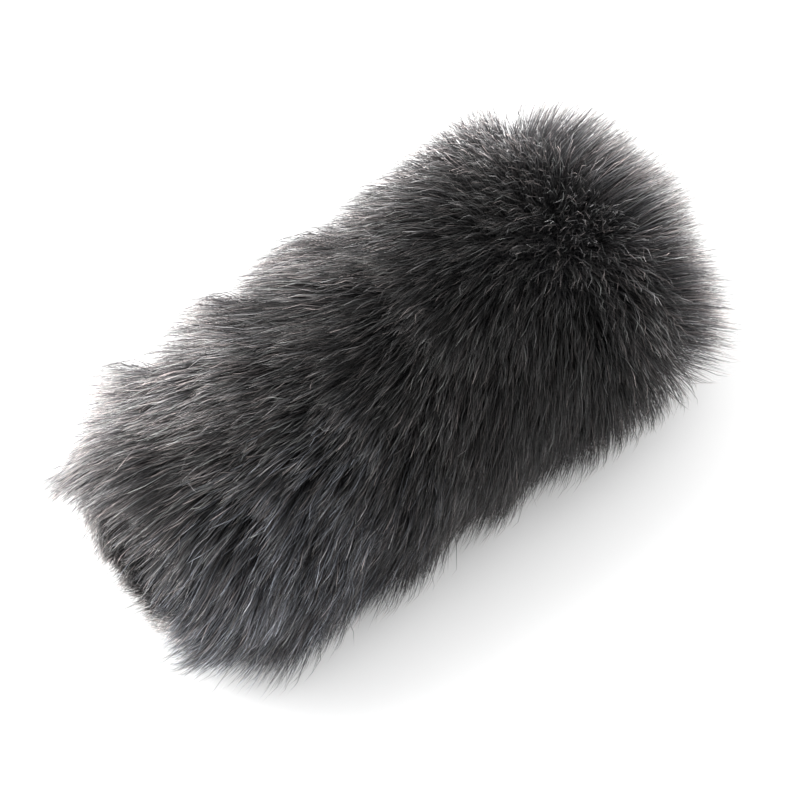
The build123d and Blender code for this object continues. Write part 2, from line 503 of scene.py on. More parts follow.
@dataclass(frozen=True)
class Tufts:
    """How hairs gather into tufts.

    Attributes:
        spacing: distance between the tufts' middles, in metres.
        pull: how far a hair's tip moves to its tuft's, 0 to 1.
        spread: how much pull varies from hair to hair.
    """

    spacing: float
    pull: float
    spread: float

    def gather(self, paths: np.ndarray, guides: np.ndarray, stations: np.ndarray, rng: Rng) -> np.ndarray:
        """Draw hairs together.

        Args:
            paths: the hairs, hair by station by coordinate.
            guides: the tufts' middle hairs, at the same stations.
            stations: places along the hair, 0 to 1.
            rng: the random numbers.

        Returns:
            The hairs' new points.
        """
        tree = kdtree.KDTree(len(guides))
        for index, guide in enumerate(guides):
            tree.insert(guide[0], index)
        tree.balance()
        owner = np.array([tree.find(path[0])[1] for path in paths])
        offset = (paths[:, 0] - guides[owner, 0])[:, None, :]
        narrow = 1.0 - 0.8 * stations**1.3
        aim = guides[owner] + offset * narrow[None, :, None]
        pull = np.clip(rng.normal(self.pull, self.spread, len(paths)), 0.0, 0.97)
        share = pull[:, None] * smooth_step(stations, 0.0, 0.9)[None, :]
        return paths * (1.0 - share[..., None]) + aim * share[..., None]


@dataclass
class HairMesh:
    """Builds one piece of pile: a straight closed hair, repeated and bent along each path.

    Attributes:
        name: of the piece.
        kind: the hair's sizes.
    """

    name: str
    kind: HairKind

    def template(self) -> bpy.types.Mesh:
        """Model one straight hair of unit radius along +Z, its root closed and its tip a point."""
        bm = bmesh.new()
        bmesh.ops.create_circle(bm, cap_ends=True, segments=3, radius=1.0)
        root = bm.faces[:]
        bmesh.ops.reverse_faces(bm, faces=root)
        edges = bm.edges[:]
        for low, high in zip(self.kind.stations, self.kind.stations[1:]):
            grown = bmesh.ops.extrude_edge_only(bm, edges=edges)["geom"]
            ring = [v for v in grown if isinstance(v, bmesh.types.BMVert)]
            bmesh.ops.translate(bm, verts=ring, vec=(0.0, 0.0, high - low))
            edges = [e for e in grown if isinstance(e, bmesh.types.BMEdge)]
        bmesh.ops.pointmerge(bm, verts=ring, merge_co=(0.0, 0.0, 1.0))
        bmesh.ops.recalc_face_normals(bm, faces=bm.faces[:])
        uv = bm.loops.layers.uv.new("OFBake")
        for face in bm.faces:
            for loop in face.loops:
                place = loop.vert.co
                column = math.atan2(place.y, place.x) / (TURN) % 1.0
                loop[uv].uv = (column * HAIR_COLUMN, place.z)
            face.smooth = True
        mesh = bpy.data.meshes.new(self.name + "_hair")
        bm.to_mesh(mesh)
        bm.free()
        return mesh

    def build(self, paths: np.ndarray, tones: np.ndarray, girth: np.ndarray, rng: Rng) -> Piece:
        """Repeat the hair and bend each copy along its path.

        Args:
            paths: hair by station by coordinate.
            tones: place of each hair in the colour map, 0 to 1.
            girth: factor on each hair's radius.
            rng: the random numbers.

        Returns:
            The piece.
        """
        hair = bpy.data.objects.new(self.name, self.template())
        bpy.context.scene.collection.objects.link(hair)
        repeat = hair.modifiers.new("repeat", "ARRAY")
        repeat.count = len(paths)
        repeat.use_relative_offset = False
        bpy.context.view_layer.update()
        mesh = bpy.data.meshes.new_from_object(hair.evaluated_get(bpy.context.evaluated_depsgraph_get()))
        hair.modifiers.clear()
        template = hair.data
        hair.data = mesh
        mesh.name = self.name
        stations = np.array(self.kind.stations)

        local = np.empty(len(template.vertices) * 3)
        template.vertices.foreach_get("co", local)
        local = local.reshape(-1, 3)
        ring = np.abs(local[:, 2, None] - stations[None, :]).argmin(axis=1)
        tangent = unit(np.gradient(paths, axis=1))
        side = unit(np.cross(tangent, unit(rng.normal(size=(len(paths), 1, 3)))))
        other = np.cross(tangent, side)
        radii = np.array(self.kind.radii)[None, :] * girth[:, None]
        width = radii[:, ring, None]
        co = paths[:, ring] + width * (
            side[:, ring] * local[None, :, 0, None] + other[:, ring] * local[None, :, 1, None]
        )
        mesh.vertices.foreach_set("co", co.astype(np.float32).ravel())

        coords = np.empty(len(mesh.loops) * 2, np.float32)
        layer = mesh.uv_layers["OFBake"]
        layer.uv.foreach_get("vector", coords)
        coords = coords.reshape(len(paths), -1, 2)
        coords[:, :, 0] += tones[:, None]
        layer.uv.foreach_set("vector", coords.ravel())
        mesh.update()
        bpy.data.meshes.remove(template)
        return hair


TONES = 64  # steps of lightness across the colour map
DYES = ((1.0, 1.0, 1.0), (1.1, 0.99, 0.95), (0.97, 1.03, 0.98), (0.91, 0.99, 1.1))
HAIR_COLUMN = 0.75 / (TONES * len(DYES))  # width of a hair in the colour map


@dataclass
class FurJacket:
    """The pile of the jacket, split into pieces that ride with it.

    Attributes:
        sizes: the frame's measures.
        guard_hairs: how many on the sleeve.
        body_hairs: how many on the sleeve.
        under_hairs: how many on the sleeve.
        nose_share: the nose panel's hairs, as a share of the sleeve's.
        mouth_share: the same for the hem's fold.
        big_tufts: locks that give the outline its lobes.
        middle_tufts: locks within those.
        small_tufts: the finest locks.
        stray_share: share of hairs that cross the others.
        combed_r: radius past which hair is held back.
        combed_x: x past which hair is held back at the mouth.
        springy: share of what is past that still stands out.
        sideways: how far pressed hair slides out, as a share of how far it is pressed.
    """

    sizes: Measures
    guard_hairs: int = 26000
    body_hairs: int = 38000
    under_hairs: int = 20000
    nose_share: float = 0.15
    mouth_share: float = 0.1
    big_tufts: Tufts = Tufts(17.0 * MM, 0.34, 0.08)
    middle_tufts: Tufts = Tufts(6.5 * MM, 0.3, 0.12)
    small_tufts: Tufts = Tufts(2.4 * MM, 0.4, 0.22)
    stray_share: float = 0.05
    combed_r: float = 54.0 * MM
    combed_x: float = -32.0 * MM
    springy: float = 0.35
    sideways: float = 0.55

    def comb(self, pile: Pile, count: int, coat: Coat, seed: int) -> tuple[np.ndarray, np.ndarray]:
        """Grow one coat and gather it into tufts.

        Args:
            pile: the part of the jacket.
            count: how many hairs.
            coat: which kind of hair.
            seed: of the random numbers.

        Returns:
            The hairs' points, and their places in the colour map.
        """
        rng = np.random.default_rng(seed)
        kind = HAIR_KINDS[coat]
        stations = np.array(kind.stations)
        guide_rng = np.random.default_rng(seed // 100)
        guides = None
        for tufts in (self.big_tufts, self.middle_tufts, self.small_tufts):
            places = pile.scatter(round(pile.area / tufts.spacing**2), guide_rng)
            finer = pile.grow(*places, kind.length, guide_rng).paths(stations)
            guides = finer if guides is None else coarser.gather(finer, guides, stations, guide_rng)
            coarser = tufts

        hairs = pile.grow(*pile.scatter(count, rng), kind.length, rng)
        total = len(hairs.length)
        hairs.length = hairs.length * np.clip(rng.normal(1.0, kind.spread, total), 0.45, 1.28)
        stray = rng.uniform(size=total) < self.stray_share
        hairs.end[stray] = unit(hairs.end[stray] + rng.normal(0.0, 0.3, (int(stray.sum()), 3)))
        free = hairs.paths(stations)
        paths = self.small_tufts.gather(free, guides, stations, rng)
        paths[stray] = free[stray]
        crimp = rng.normal(0.0, kind.crimp, (len(paths), len(stations), 3))
        paths = self.press(paths + crimp * (stations**1.2)[None, :, None], rng)
        tone = kind.tone + hairs.paler + rng.normal(0.0, 0.19, len(paths)) + 0.12 * stray
        tone = np.floor(np.clip(tone, 0.0, 0.99) * TONES)
        dye = rng.choice(len(DYES) - 1, size=len(paths), p=(0.5, 0.32, 0.18))
        dye = np.where(rng.uniform(size=len(paths)) < 0.6 * hairs.cool, len(DYES) - 1, dye)
        return paths, (tone + dye / len(DYES)) / TONES

    def press(self, paths: np.ndarray, rng: Rng) -> np.ndarray:
        """Hold the pile to its combed size, and press it flat on the surface that it lies on.

        Args:
            paths: hair by station by coordinate.
            rng: the random numbers.

        Returns:
            The points, none under the surface.
        """
        radius = np.linalg.norm(paths[:, :, 1:], axis=2)
        past = self.combed_r + self.springy * (radius - self.combed_r)
        held = np.where(radius > self.combed_r, past, radius)
        paths = paths.copy()
        paths[:, :, 1:] *= (held / np.maximum(radius, 1e-6))[:, :, None]
        paths[:, :, 0] += (1.0 - self.springy) * np.maximum(0.0, self.combed_x - paths[:, :, 0])
        floor = self.sizes.rest_z + rng.uniform(0.15, 2.2, len(paths))[:, None] * MM
        under = np.maximum(0.0, floor - paths[:, :, 2])
        paths[:, :, 2] += under
        paths[:, :, 1] += np.sign(paths[:, :, 1]) * under * self.sideways
        return paths

    def build(self) -> list[Piece]:
        """Model every piece of the pile."""
        coats = (
            ("guard_hair", Coat.GUARD, self.guard_hairs, 4),
            ("body_hair", Coat.BODY, self.body_hairs, 4),
            ("underfur", Coat.UNDER, self.under_hairs, 2),
        )
        piles = (
            ("sleeve", SleevePile(self.sizes), 1.0, coats),
            ("nose", NosePile(self.sizes), self.nose_share, coats),
            ("mouth", MouthPile(self.sizes), self.mouth_share, coats[:2]),
        )
        pieces = []
        for part, (place, pile, share, grown) in enumerate(piles, 1):
            for kind, (suffix, coat, hairs, split) in enumerate(grown, 1):
                seed = 100 * part + kind
                paths, tones = self.comb(pile, round(hairs * share), coat, seed)
                rng = np.random.default_rng(seed + 5)
                girth = rng.uniform(0.75, 1.25, len(paths))
                order = np.argsort(paths[:, 0, 0], kind="stable")
                groups = np.array_split(order, split if place == "sleeve" else 1)
                for index, chosen in enumerate(groups, 1):
                    name = f"{place}_{suffix}" + (f"_{index}" if len(groups) > 1 else "")
                    mesh = HairMesh(name, HAIR_KINDS[coat])
                    pieces.append(mesh.build(paths[chosen], tones[chosen], girth[chosen], rng))
                    LOG.info("%s: %d hairs", name, len(chosen))
        return pieces


# Turned and sewn pieces


class Outline:
    """A section drawn beside the axis, x along it and y the distance from it."""

    def __init__(self) -> None:
        """Start an empty section."""
        self.bm = bmesh.new()
        self.first: bmesh.types.BMVert | None = None
        self.last: bmesh.types.BMVert | None = None

    def to(self, *points: tuple[float, float]) -> "Outline":
        """Draw straight lines on to the given points, in metres."""
        for x, radius in points:
            vert = self.bm.verts.new((x, radius, 0.0))
            if self.last is None:
                self.first = vert
            else:
                self.bm.edges.new((self.last, vert))
            self.last = vert
        return self

    def arc(self, centre_x: float, degrees: float, steps: int) -> "Outline":
        """Draw an arc about a point of the axis.

        Args:
            centre_x: of the arc's middle.
            degrees: how far it turns; positive is away from the front.
            steps: how many straight pieces it has.

        Returns:
            The section.
        """
        turn = {"cent": (centre_x, 0.0, 0.0), "axis": (0.0, 0.0, 1.0), "angle": math.radians(degrees)}
        made = bmesh.ops.spin(self.bm, geom=[self.last], steps=steps, **turn)
        self.last = next(g for g in made["geom_last"] if isinstance(g, bmesh.types.BMVert))
        return self

    def closed(self) -> "Outline":
        """Join the end to the start."""
        self.bm.edges.new((self.last, self.first))
        return self

    def spun(self, name: str, steps: int, edge: float, rounding: float = 0.0) -> Piece:
        """Turn the section about the axis into a closed piece.

        Args:
            name: of the piece.
            steps: round the axis.
            edge: longest edge along the section.
            rounding: of the section's corners.

        Returns:
            The piece.
        """
        bm = self.bm
        if rounding:
            corners = [v for v in bm.verts if len(v.link_edges) == 2 and v.calc_edge_angle(0.0) > 0.6]
            bm.faces.new(walk(self.first))
            bmesh.ops.bevel(
                bm, geom=corners, offset=rounding, segments=3, profile=0.5, affect="VERTICES", material=-1
            )
            bmesh.ops.delete(bm, geom=bm.faces[:], context="FACES_ONLY")
        for line in bm.edges[:]:
            cuts = math.ceil(line.calc_length() / edge) - 1
            if cuts > 0:
                bmesh.ops.subdivide_edges(bm, edges=[line], cuts=cuts)
        geom = bm.verts[:] + bm.edges[:]
        whole = {"cent": (0.0, 0.0, 0.0), "axis": (1.0, 0.0, 0.0), "angle": TURN}
        bmesh.ops.spin(bm, geom=geom, steps=steps, use_merge=True, **whole)
        bmesh.ops.remove_doubles(bm, verts=bm.verts[:], dist=0.002 * MM)
        return finished(bm, name)


def tube(
    name: str,
    ends: tuple[float, float],
    radii: tuple[float, float],
    steps: int,
    edge: float,
    rounding: float = 0.0,
) -> Piece:
    """Turn a plain tube.

    Args:
        name: of the piece.
        ends: x of its rear and its front.
        radii: inside and outside.
        steps: round the axis.
        edge: longest edge along the section.
        rounding: of the section's corners.

    Returns:
        The piece.
    """
    (rear, front), (inner, outer) = ends, radii
    section = Outline().to((rear, inner), (rear, outer), (front, outer), (front, inner))
    return section.closed().spun(name, steps, edge, rounding)


def dome(name: str, ends: tuple[float, float], radii: tuple[float, float], steps: int) -> Piece:
    """Turn a domed sheet, its two skins about one middle.

    Args:
        name: of the piece.
        ends: x of its edge, and x of the inner skin's top.
        radii: of the inner and the outer skin at the edge.
        steps: along each skin.

    Returns:
        The piece.
    """
    (edge, top), (inner, outer) = ends, radii
    depth = top - edge
    ball = dome_radius(inner, depth)
    section = Outline().to((top, 0.0))
    section.arc(top - ball, math.degrees(math.atan2(inner, ball - depth)), steps).to((edge, outer))
    section.arc(top - ball, -math.degrees(math.atan2(outer, edge - (top - ball))), steps)
    return section.spun(name, 144, 3.0 * MM)


def walk(first: bmesh.types.BMVert) -> list[bmesh.types.BMVert]:
    """List the corners of a closed wire in order."""
    order = [first]
    line = first.link_edges[0]
    while True:
        vert = line.other_vert(order[-1])
        if vert is first:
            return order
        order.append(vert)
        line = next(e for e in vert.link_edges if e is not line)


def finished(bm: bmesh.types.BMesh, name: str) -> Piece:
    """Make a smooth piece of a bmesh, its faces outwards."""
    bmesh.ops.recalc_face_normals(bm, faces=bm.faces[:])
    if bm.calc_volume(signed=True) < 0.0:
        bmesh.ops.reverse_faces(bm, faces=bm.faces[:])
    for face in bm.faces:
        face.smooth = True
    mesh = bpy.data.meshes.new(name)
    bm.to_mesh(mesh)
    bm.free()
    piece = bpy.data.objects.new(name, mesh)
    bpy.context.scene.collection.objects.link(piece)
    return piece


def reshape(piece: Piece, move: Callable[[np.ndarray], np.ndarray]) -> Piece:
    """Move a piece's points.

    Args:
        piece: to change.
        move: gives the new points from the old ones.

    Returns:
        The piece.
    """
    points = np.empty(len(piece.data.vertices) * 3)
    piece.data.vertices.foreach_get("co", points)
    piece.data.vertices.foreach_set("co", move(points.reshape(-1, 3)).astype(np.float32).ravel())
    piece.data.update()
    return piece


def swell(points: np.ndarray, amount: np.ndarray) -> np.ndarray:
    """Move points away from the axis by the given amounts, in metres."""
    radius = np.maximum(np.linalg.norm(points[:, 1:], axis=1), 1e-6)
    moved = points.copy()
    moved[:, 1:] *= ((radius + amount) / radius)[:, None]
    return moved


def angle_and_radius(points: np.ndarray) -> tuple[np.ndarray, np.ndarray]:
    """The angle about the axis, from +Y towards +Z, and the distance from it."""
    return np.arctan2(points[:, 2], points[:, 1]), np.linalg.norm(points[:, 1:], axis=1)


@dataclass(frozen=True)
class FlatPiece:
    """A small flat piece, such as a tape, stitch or label, made flat and then laid round the axis.

    Attributes:
        length: along the axis, in metres.
        width: round the axis.
        thickness: from the axis outwards.
        rounding: of its edges.
    """

    length: float
    width: float
    thickness: float
    rounding: float

    def mesh(
        self, centre: tuple[float, float], inner_r: float, degrees: float, cuts: float
    ) -> bmesh.types.BMesh:
        """Model the piece and lay it round the axis.

        Args:
            centre: x of its middle, and how far its middle is off the angle, in metres.
            inner_r: its inside radius.
            degrees: the angle about the axis.
            cuts: longest edge of its faces.

        Returns:
            The bmesh.
        """
        bm = bmesh.new()
        bmesh.ops.create_cube(bm, size=1.0)
        bmesh.ops.scale(bm, verts=bm.verts[:], vec=(self.length, self.width, self.thickness))
        bmesh.ops.bevel(
            bm, geom=bm.edges[:], offset=self.rounding, segments=2, profile=0.5, affect="EDGES", material=-1
        )
        for axis, size in ((0, self.length), (1, self.width)):
            for part in range(1, math.ceil(size / cuts)):
                plane_co = [0.0, 0.0, 0.0]
                plane_co[axis] = size * (part / math.ceil(size / cuts) - 0.5)
                plane_no = [float(axis == 0), float(axis == 1), 0.0]
                everything = bm.verts[:] + bm.edges[:] + bm.faces[:]
                bmesh.ops.bisect_plane(bm, geom=everything, plane_co=plane_co, plane_no=plane_no)
        for vert in bm.verts:
            angle = math.radians(degrees) + (vert.co.y + centre[1]) / (inner_r + self.thickness / 2.0)
            radius = inner_r + self.thickness / 2.0 + vert.co.z
            vert.co = (centre[0] + vert.co.x, radius * math.cos(angle), radius * math.sin(angle))
        return bm


# Basket


@dataclass(frozen=True)
class Basket:
    """Foam and spacer mesh of the basket; its plastic and its pins are the frame's own nodes.

    Attributes:
        hoops: how many hoops the half cages have.
        bars: how many lengthwise bars, all round.
        bar_w: width of a bar.
        air_gap_r: free radius round the microphone.
        cell: size of the foam's cells.
        sag: how far the mesh sinks into the cage's windows.
    """

    hoops: int = 9
    bars: int = 12
    bar_w: float = 2.4 * MM
    air_gap_r: float = 19.5 * MM
    cell: float = 2.6 * MM
    sag: float = 0.45 * MM

    def foam(self) -> list[Piece]:
        """Open-cell foam: a tube, and the plug that closes its front."""
        low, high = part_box("foam_sleeve")
        radii = (self.air_gap_r, high.z)
        sleeve = tube("foam_lining", (low.x, high.x), radii, 120, 1.7 * MM, 0.7 * MM)
        low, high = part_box("foam_nose")
        dome_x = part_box("basket_half_left")[1].x
        depth = high.x - dome_x
        dome_r = dome_radius(high.z, depth)
        edge = math.degrees(math.atan2(high.z, dome_r - depth))
        plug = Outline().to((high.x, 0.0)).arc(high.x - dome_r, edge, 18)
        plug.to((low.x, high.z), (low.x, 0.0))
        nose = plug.spun("foam_plug", 96, 1.8 * MM)

        def cells(points: np.ndarray) -> np.ndarray:
            """Sink the skin between the foam's ribs."""
            pores = 0.5 + 0.5 * np.clip(Ripples(31, self.cell, 11).at(points), -1.0, 1.0)
            _, radius = angle_and_radius(points)
            inwards = np.where(radius < 0.5 * (self.air_gap_r + high.z), 1.0, -1.0)
            return swell(points, inwards * pores * 0.16 * MM)

        return [reshape(sleeve, cells), reshape(nose, cells)]

    def cover(self) -> tuple[Piece, Piece, Piece]:
        """Spacer mesh stocking, sunk a little into each window, and the binding of its rear edge."""
        low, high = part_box("mesh_cover")
        cage_low, cage_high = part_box("basket_half_left")
        radii = (cage_high.z, high.z)
        sleeve = tube("mesh_stocking", (low.x, cage_high.x), radii, 144, 2.6 * MM)
        top = high.x - (high.z - cage_high.z)
        cap = dome("mesh_stocking_toe", (cage_high.x, top), radii, 16)
        pitch = (cage_high.x - cage_low.x - self.bar_w) / (self.hoops - 1)

        def sink(points: np.ndarray) -> np.ndarray:
            """Sink the mesh between the hoops and bars, and raise the ridge of its seam."""
            angle, radius = angle_and_radius(points)
            bay = (points[:, 0] - cage_low.x - self.bar_w) % pitch / (pitch - self.bar_w)
            turn = (angle * self.bars / (TURN)) % 1.0
            dip = np.sin(math.pi * np.clip(bay, 0.0, 1.0)) * np.sin(math.pi * turn)
            seam = np.exp(-(((np.abs(angle + math.pi / 2.0) * radius) / (0.9 * MM)) ** 2))
            return swell(points, np.where(dip > 0.0, -self.sag * dip**0.7, 0.0) + 0.25 * MM * seam)

        ends, radii = (low.x, low.x + 6.0 * MM), (high.z - 0.1 * MM, high.z + 0.32 * MM)
        binding = tube("mesh_stocking_binding", ends, radii, 144, 1.0 * MM, 0.15 * MM)
        return reshape(sleeve, sink), cap, binding

    def build(self, looks: "Looks") -> list[Piece]:
        """Model and dress the basket."""
        foam = self.foam()
        for piece, node in zip(foam, ("foam_sleeve", "foam_nose")):
            dress(piece, "core", node, looks.foam)
        sleeve, cap, binding = self.cover()
        for piece in (sleeve, cap, binding):
            dress(piece, "core", "mesh_cover", looks.toe if piece is cap else looks.mesh)
        for node in ("rear_ring", "basket_half_left", "basket_half_right", "basket_nose"):
            repaint(node, looks.plastic)
        repaint("basket_pins", looks.steel)
        return foam + [sleeve, cap, binding]


# Boot


@dataclass(frozen=True)
class GripBoot:
    """Moulded rubber boot that grips the microphone.

    Attributes:
        bore_r: of the grip bore.
        lead_in_depth: of the flared entry.
        lead_in_flare: how much wider the entry is.
        flange_t: thickness of the pull flange.
        shank_r: radius in front of the flange.
        notches: round the flange.
        notch_r: of a notch.
        groove: depth of the shank's grooves.
    """

    bore_r: float = 9.5 * MM
    lead_in_depth: float = 3.0 * MM
    lead_in_flare: float = 2.0 * MM
    flange_t: float = 4.0 * MM
    shank_r: float = 16.0 * MM
    notches: int = 12
    notch_r: float = 1.8 * MM
    groove: float = 0.35 * MM

    def build(self, looks: "Looks") -> list[Piece]:
        """Model and dress the boot."""
        low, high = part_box("grip_boot")
        face = low.x + self.flange_t
        section = Outline().to(
            (low.x, self.bore_r + self.lead_in_flare),
            (low.x, high.z),
            (face, high.z),
            (face, self.shank_r),
            (high.x, self.shank_r),
            (high.x, self.bore_r),
            (low.x + self.lead_in_depth, self.bore_r),
        )
        boot = section.closed().spun("microphone_boot", 216, 0.8 * MM, 0.55 * MM)

        def mould(points: np.ndarray) -> np.ndarray:
            """Cut the flange's notches and the shank's grooves."""
            angle, radius = angle_and_radius(points)
            step = TURN / self.notches
            across = np.abs(angle % step - step / 2.0) * high.z
            bite = np.sqrt(np.maximum(0.0, self.notch_r**2 - across**2))
            flange = np.where((points[:, 0] < face + 0.1 * MM) & (radius > self.shank_r), radius, 0.0)
            amount = -np.maximum(0.0, flange - (high.z - bite))
            shank = (np.abs(radius - self.shank_r) < 0.05 * MM) & (points[:, 0] > face + MM)
            wave = np.maximum(0.0, np.sin((points[:, 0] - face) / (3.2 * MM) * TURN)) ** 2
            grooved = shank & (points[:, 0] < high.x - 2.0 * MM)
            return swell(points, amount - np.where(grooved, self.groove * wave, 0.0))

        reshape(boot, mould)
        dress(boot, "boot", "grip_boot", looks.rubber)
        return [boot]


# Jacket's cloth


@dataclass(frozen=True)
class JacketCloth:
    """Everything of the jacket but its pile.

    Attributes:
        thread_t: thickness of a stitch.
        tape_t: thickness of a tape.
        cloth_t: thickness of the knitted backing.
        stitch_l: length of a stitch.
        stitch_w: width of a stitch.
        ring_stitches: round each ring of stitches.
        back_stitches: along each row of the lengthwise seam.
        back_tape_w: width of the lengthwise tape.
        gathers: round the hem.
        gather: height of a gather.
        label_w: width of the label.
        label_l: length of the label.
        label_at: angle of the label, in degrees.
        panel_flat: width of the nose panel laid flat; not used.
    """

    thread_t: float = 0.25 * MM
    tape_t: float = 0.5 * MM
    cloth_t: float = 1.0 * MM
    stitch_l: float = 2.4 * MM
    stitch_w: float = 0.5 * MM
    ring_stitches: int = 36
    back_stitches: int = 20
    back_tape_w: float = 10.0 * MM
    gathers: int = 44
    gather: float = 0.5 * MM
    label_w: float = 14.0 * MM
    label_l: float = 10.0 * MM
    label_at: float = -56.6
    panel_flat: float = 66.0 * MM

    def backing(self) -> tuple[Piece, Piece]:
        """Knitted tube and the round panel across its front."""
        low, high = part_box("backing_sleeve")
        inner = high.z - self.cloth_t
        sleeve = tube("knit_sleeve", (low.x, high.x), (inner, high.z), 144, 3.0 * MM)

        def gather(points: np.ndarray) -> np.ndarray:
            """Gather the cloth where the hem's elastic draws it in, and slacken it elsewhere."""
            angle, _ = angle_and_radius(points)
            near_hem = 1.0 - smooth_step(points[:, 0], low.x, low.x + 24.0 * MM)
            folds = 0.5 + 0.5 * np.sin(angle * self.gathers / 2.0 + 1.5 * Ripples(41, 30.0 * MM).at(points))
            slack = 0.5 + 0.5 * np.clip(Ripples(42, 28.0 * MM).at(points), -1.0, 1.0)
            return swell(points, 0.35 * MM * folds * near_hem + 0.3 * MM * slack)

        reshape(sleeve, gather)
        low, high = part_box("backing_nose")
        ends = (low.x, high.x - self.cloth_t)
        return sleeve, dome("knit_nose_panel", ends, (inner, high.z), 18)

    def tapes(self) -> list[Piece]:
        """Tapes over the nose seam and the lengthwise seam, the nose seam's tape drawn in at each stitch.
        """
        low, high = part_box("nose_seam_tape")
        inner = high.z - self.tape_t
        ends, radii = (low.x, high.x), (inner, high.z)
        nose = tube("nose_seam_binding", ends, radii, 216, 0.9 * MM, 0.12 * MM)

        def pucker(points: np.ndarray) -> np.ndarray:
            """Lift the tape's edges between the stitches."""
            angle, radius = angle_and_radius(points)
            across = np.abs(points[:, 0] - (low.x + high.x) / 2.0) / ((high.x - low.x) / 2.0)
            lift = 0.5 - 0.5 * np.cos(angle * self.ring_stitches)
            return swell(points, np.where(radius < inner + 0.2 * MM, -0.16 * MM, 0.0) * lift * across**2)

        reshape(nose, pucker)
        low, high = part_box("back_seam_tape")
        strip = FlatPiece(high.x - low.x, self.back_tape_w, self.tape_t, 0.12 * MM)
        bm = strip.mesh(((low.x + high.x) / 2.0, 0.0), inner, -90.0, 2.0 * MM)
        return [nose, finished(bm, "back_seam_binding")]

    def hem(self) -> list[Piece]:
        """Folded casing, gathered by the ribbed elastic inside it."""
        low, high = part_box("hem_casing")
        sleeve_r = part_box("backing_sleeve")[1].z
        tape_r = sleeve_r - self.cloth_t - self.tape_t
        fold = Outline().to(
            (low.x, tape_r), (high.x, tape_r), (high.x, tape_r + self.tape_t),
            (low.x + self.tape_t, tape_r + self.tape_t), (low.x + self.tape_t, sleeve_r),
            (high.x, sleeve_r), (high.x, high.z), (low.x, high.z),
        )
        casing = fold.closed().spun("hem_binding", 220, 1.3 * MM, 0.2 * MM)

        def gather(points: np.ndarray) -> np.ndarray:
            """Raise the casing's gathers, flat at its stitched edge and full over the elastic."""
            angle, radius = angle_and_radius(points)
            along = np.clip((points[:, 0] - low.x) / (high.x - low.x), 0.0, 1.0)
            full = np.sin(math.pi * np.clip(along * 1.15, 0.0, 1.0)) ** 0.6
            folds = 0.5 + 0.5 * np.sin(angle * self.gathers + 2.0 * Ripples(43, 16.0 * MM).at(points))
            outside = radius > sleeve_r - 0.2 * MM
            return swell(points, np.where(outside, self.gather * folds * full, -0.18 * MM * folds * full))

        reshape(casing, gather)
        low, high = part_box("hem_elastic")
        inner = high.z - (self.cloth_t - 0.1 * MM)
        ends, radii = (low.x, high.x), (inner, high.z)
        elastic = tube("elastic_band", ends, radii, 96, 0.24 * MM, 0.15 * MM)

        def ribs(points: np.ndarray) -> np.ndarray:
            """Sink the elastic between its cords."""
            _, radius = angle_and_radius(points)
            dip = 0.09 * MM * (0.5 + 0.5 * np.cos((points[:, 0] - low.x) / (0.7 * MM) * TURN))
            return swell(points, np.where(radius > (inner + high.z) / 2.0, -dip, dip))

        return [casing, reshape(elastic, ribs)]

    def ring_of_stitches(self, name: str, node: str) -> Piece:
        """Stitches round the inside of the jacket, where the node has them."""
        low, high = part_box(node)
        stitch = FlatPiece(self.stitch_w, self.stitch_l, self.thread_t, 0.08 * MM)
        bm = stitch.mesh(((low.x + high.x) / 2.0, 0.0), high.z - self.thread_t, 0.0, 0.8 * MM)
        step = TURN / self.ring_stitches
        turn = {"cent": (0.0, 0.0, 0.0), "axis": (1.0, 0.0, 0.0), "angle": step * (self.ring_stitches - 1)}
        bmesh.ops.spin(bm, geom=bm.faces[:], steps=self.ring_stitches - 1, use_duplicate=True, **turn)
        return finished(bm, name)

    def back_stitching(self) -> Piece:
        """Two rows of stitches along the lengthwise tape."""
        tape_low, tape_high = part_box("back_seam_tape")
        inner = -tape_low.z - self.tape_t - self.thread_t
        stitch = FlatPiece(self.stitch_l, self.stitch_w, self.thread_t, 0.08 * MM)
        pitch = (tape_high.x - tape_low.x) / self.back_stitches
        off = self.back_tape_w / 2.0 - 3.0 * self.stitch_w
        whole = stitch.mesh((tape_low.x + pitch / 2.0, off), inner, -90.0, 0.8 * MM)
        other = stitch.mesh((tape_low.x + pitch / 2.0, -off), inner, -90.0, 0.8 * MM)
        second = bpy.data.meshes.new("second_row")
        other.to_mesh(second)
        other.free()
        whole.from_mesh(second)
        bpy.data.meshes.remove(second)
        first = whole.verts[:] + whole.edges[:] + whole.faces[:]
        for index in range(1, self.back_stitches):
            copy = bmesh.ops.duplicate(whole, geom=first)["geom"]
            moved = [g for g in copy if isinstance(g, bmesh.types.BMVert)]
            bmesh.ops.translate(whole, verts=moved, vec=(index * pitch, 0.0, 0.0))
        return finished(whole, "back_seam_thread")

    def label(self) -> Piece:
        """Blank woven label, its free end curling a little."""
        low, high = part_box("woven_label")
        sleeve_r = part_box("backing_sleeve")[1].z
        inner = sleeve_r - self.cloth_t - self.tape_t
        flat = FlatPiece(self.label_l, self.label_w, self.tape_t, 0.12 * MM)
        bm = flat.mesh(((low.x + high.x) / 2.0, 0.0), inner, self.label_at, 0.8 * MM)

        def curl(points: np.ndarray) -> np.ndarray:
            """Lift the free end towards the axis."""
            free = np.clip((high.x - points[:, 0]) / self.label_l, 0.0, 1.0)
            return swell(points, -1.1 * MM * free**2)

        return reshape(finished(bm, "blank_label"), curl)

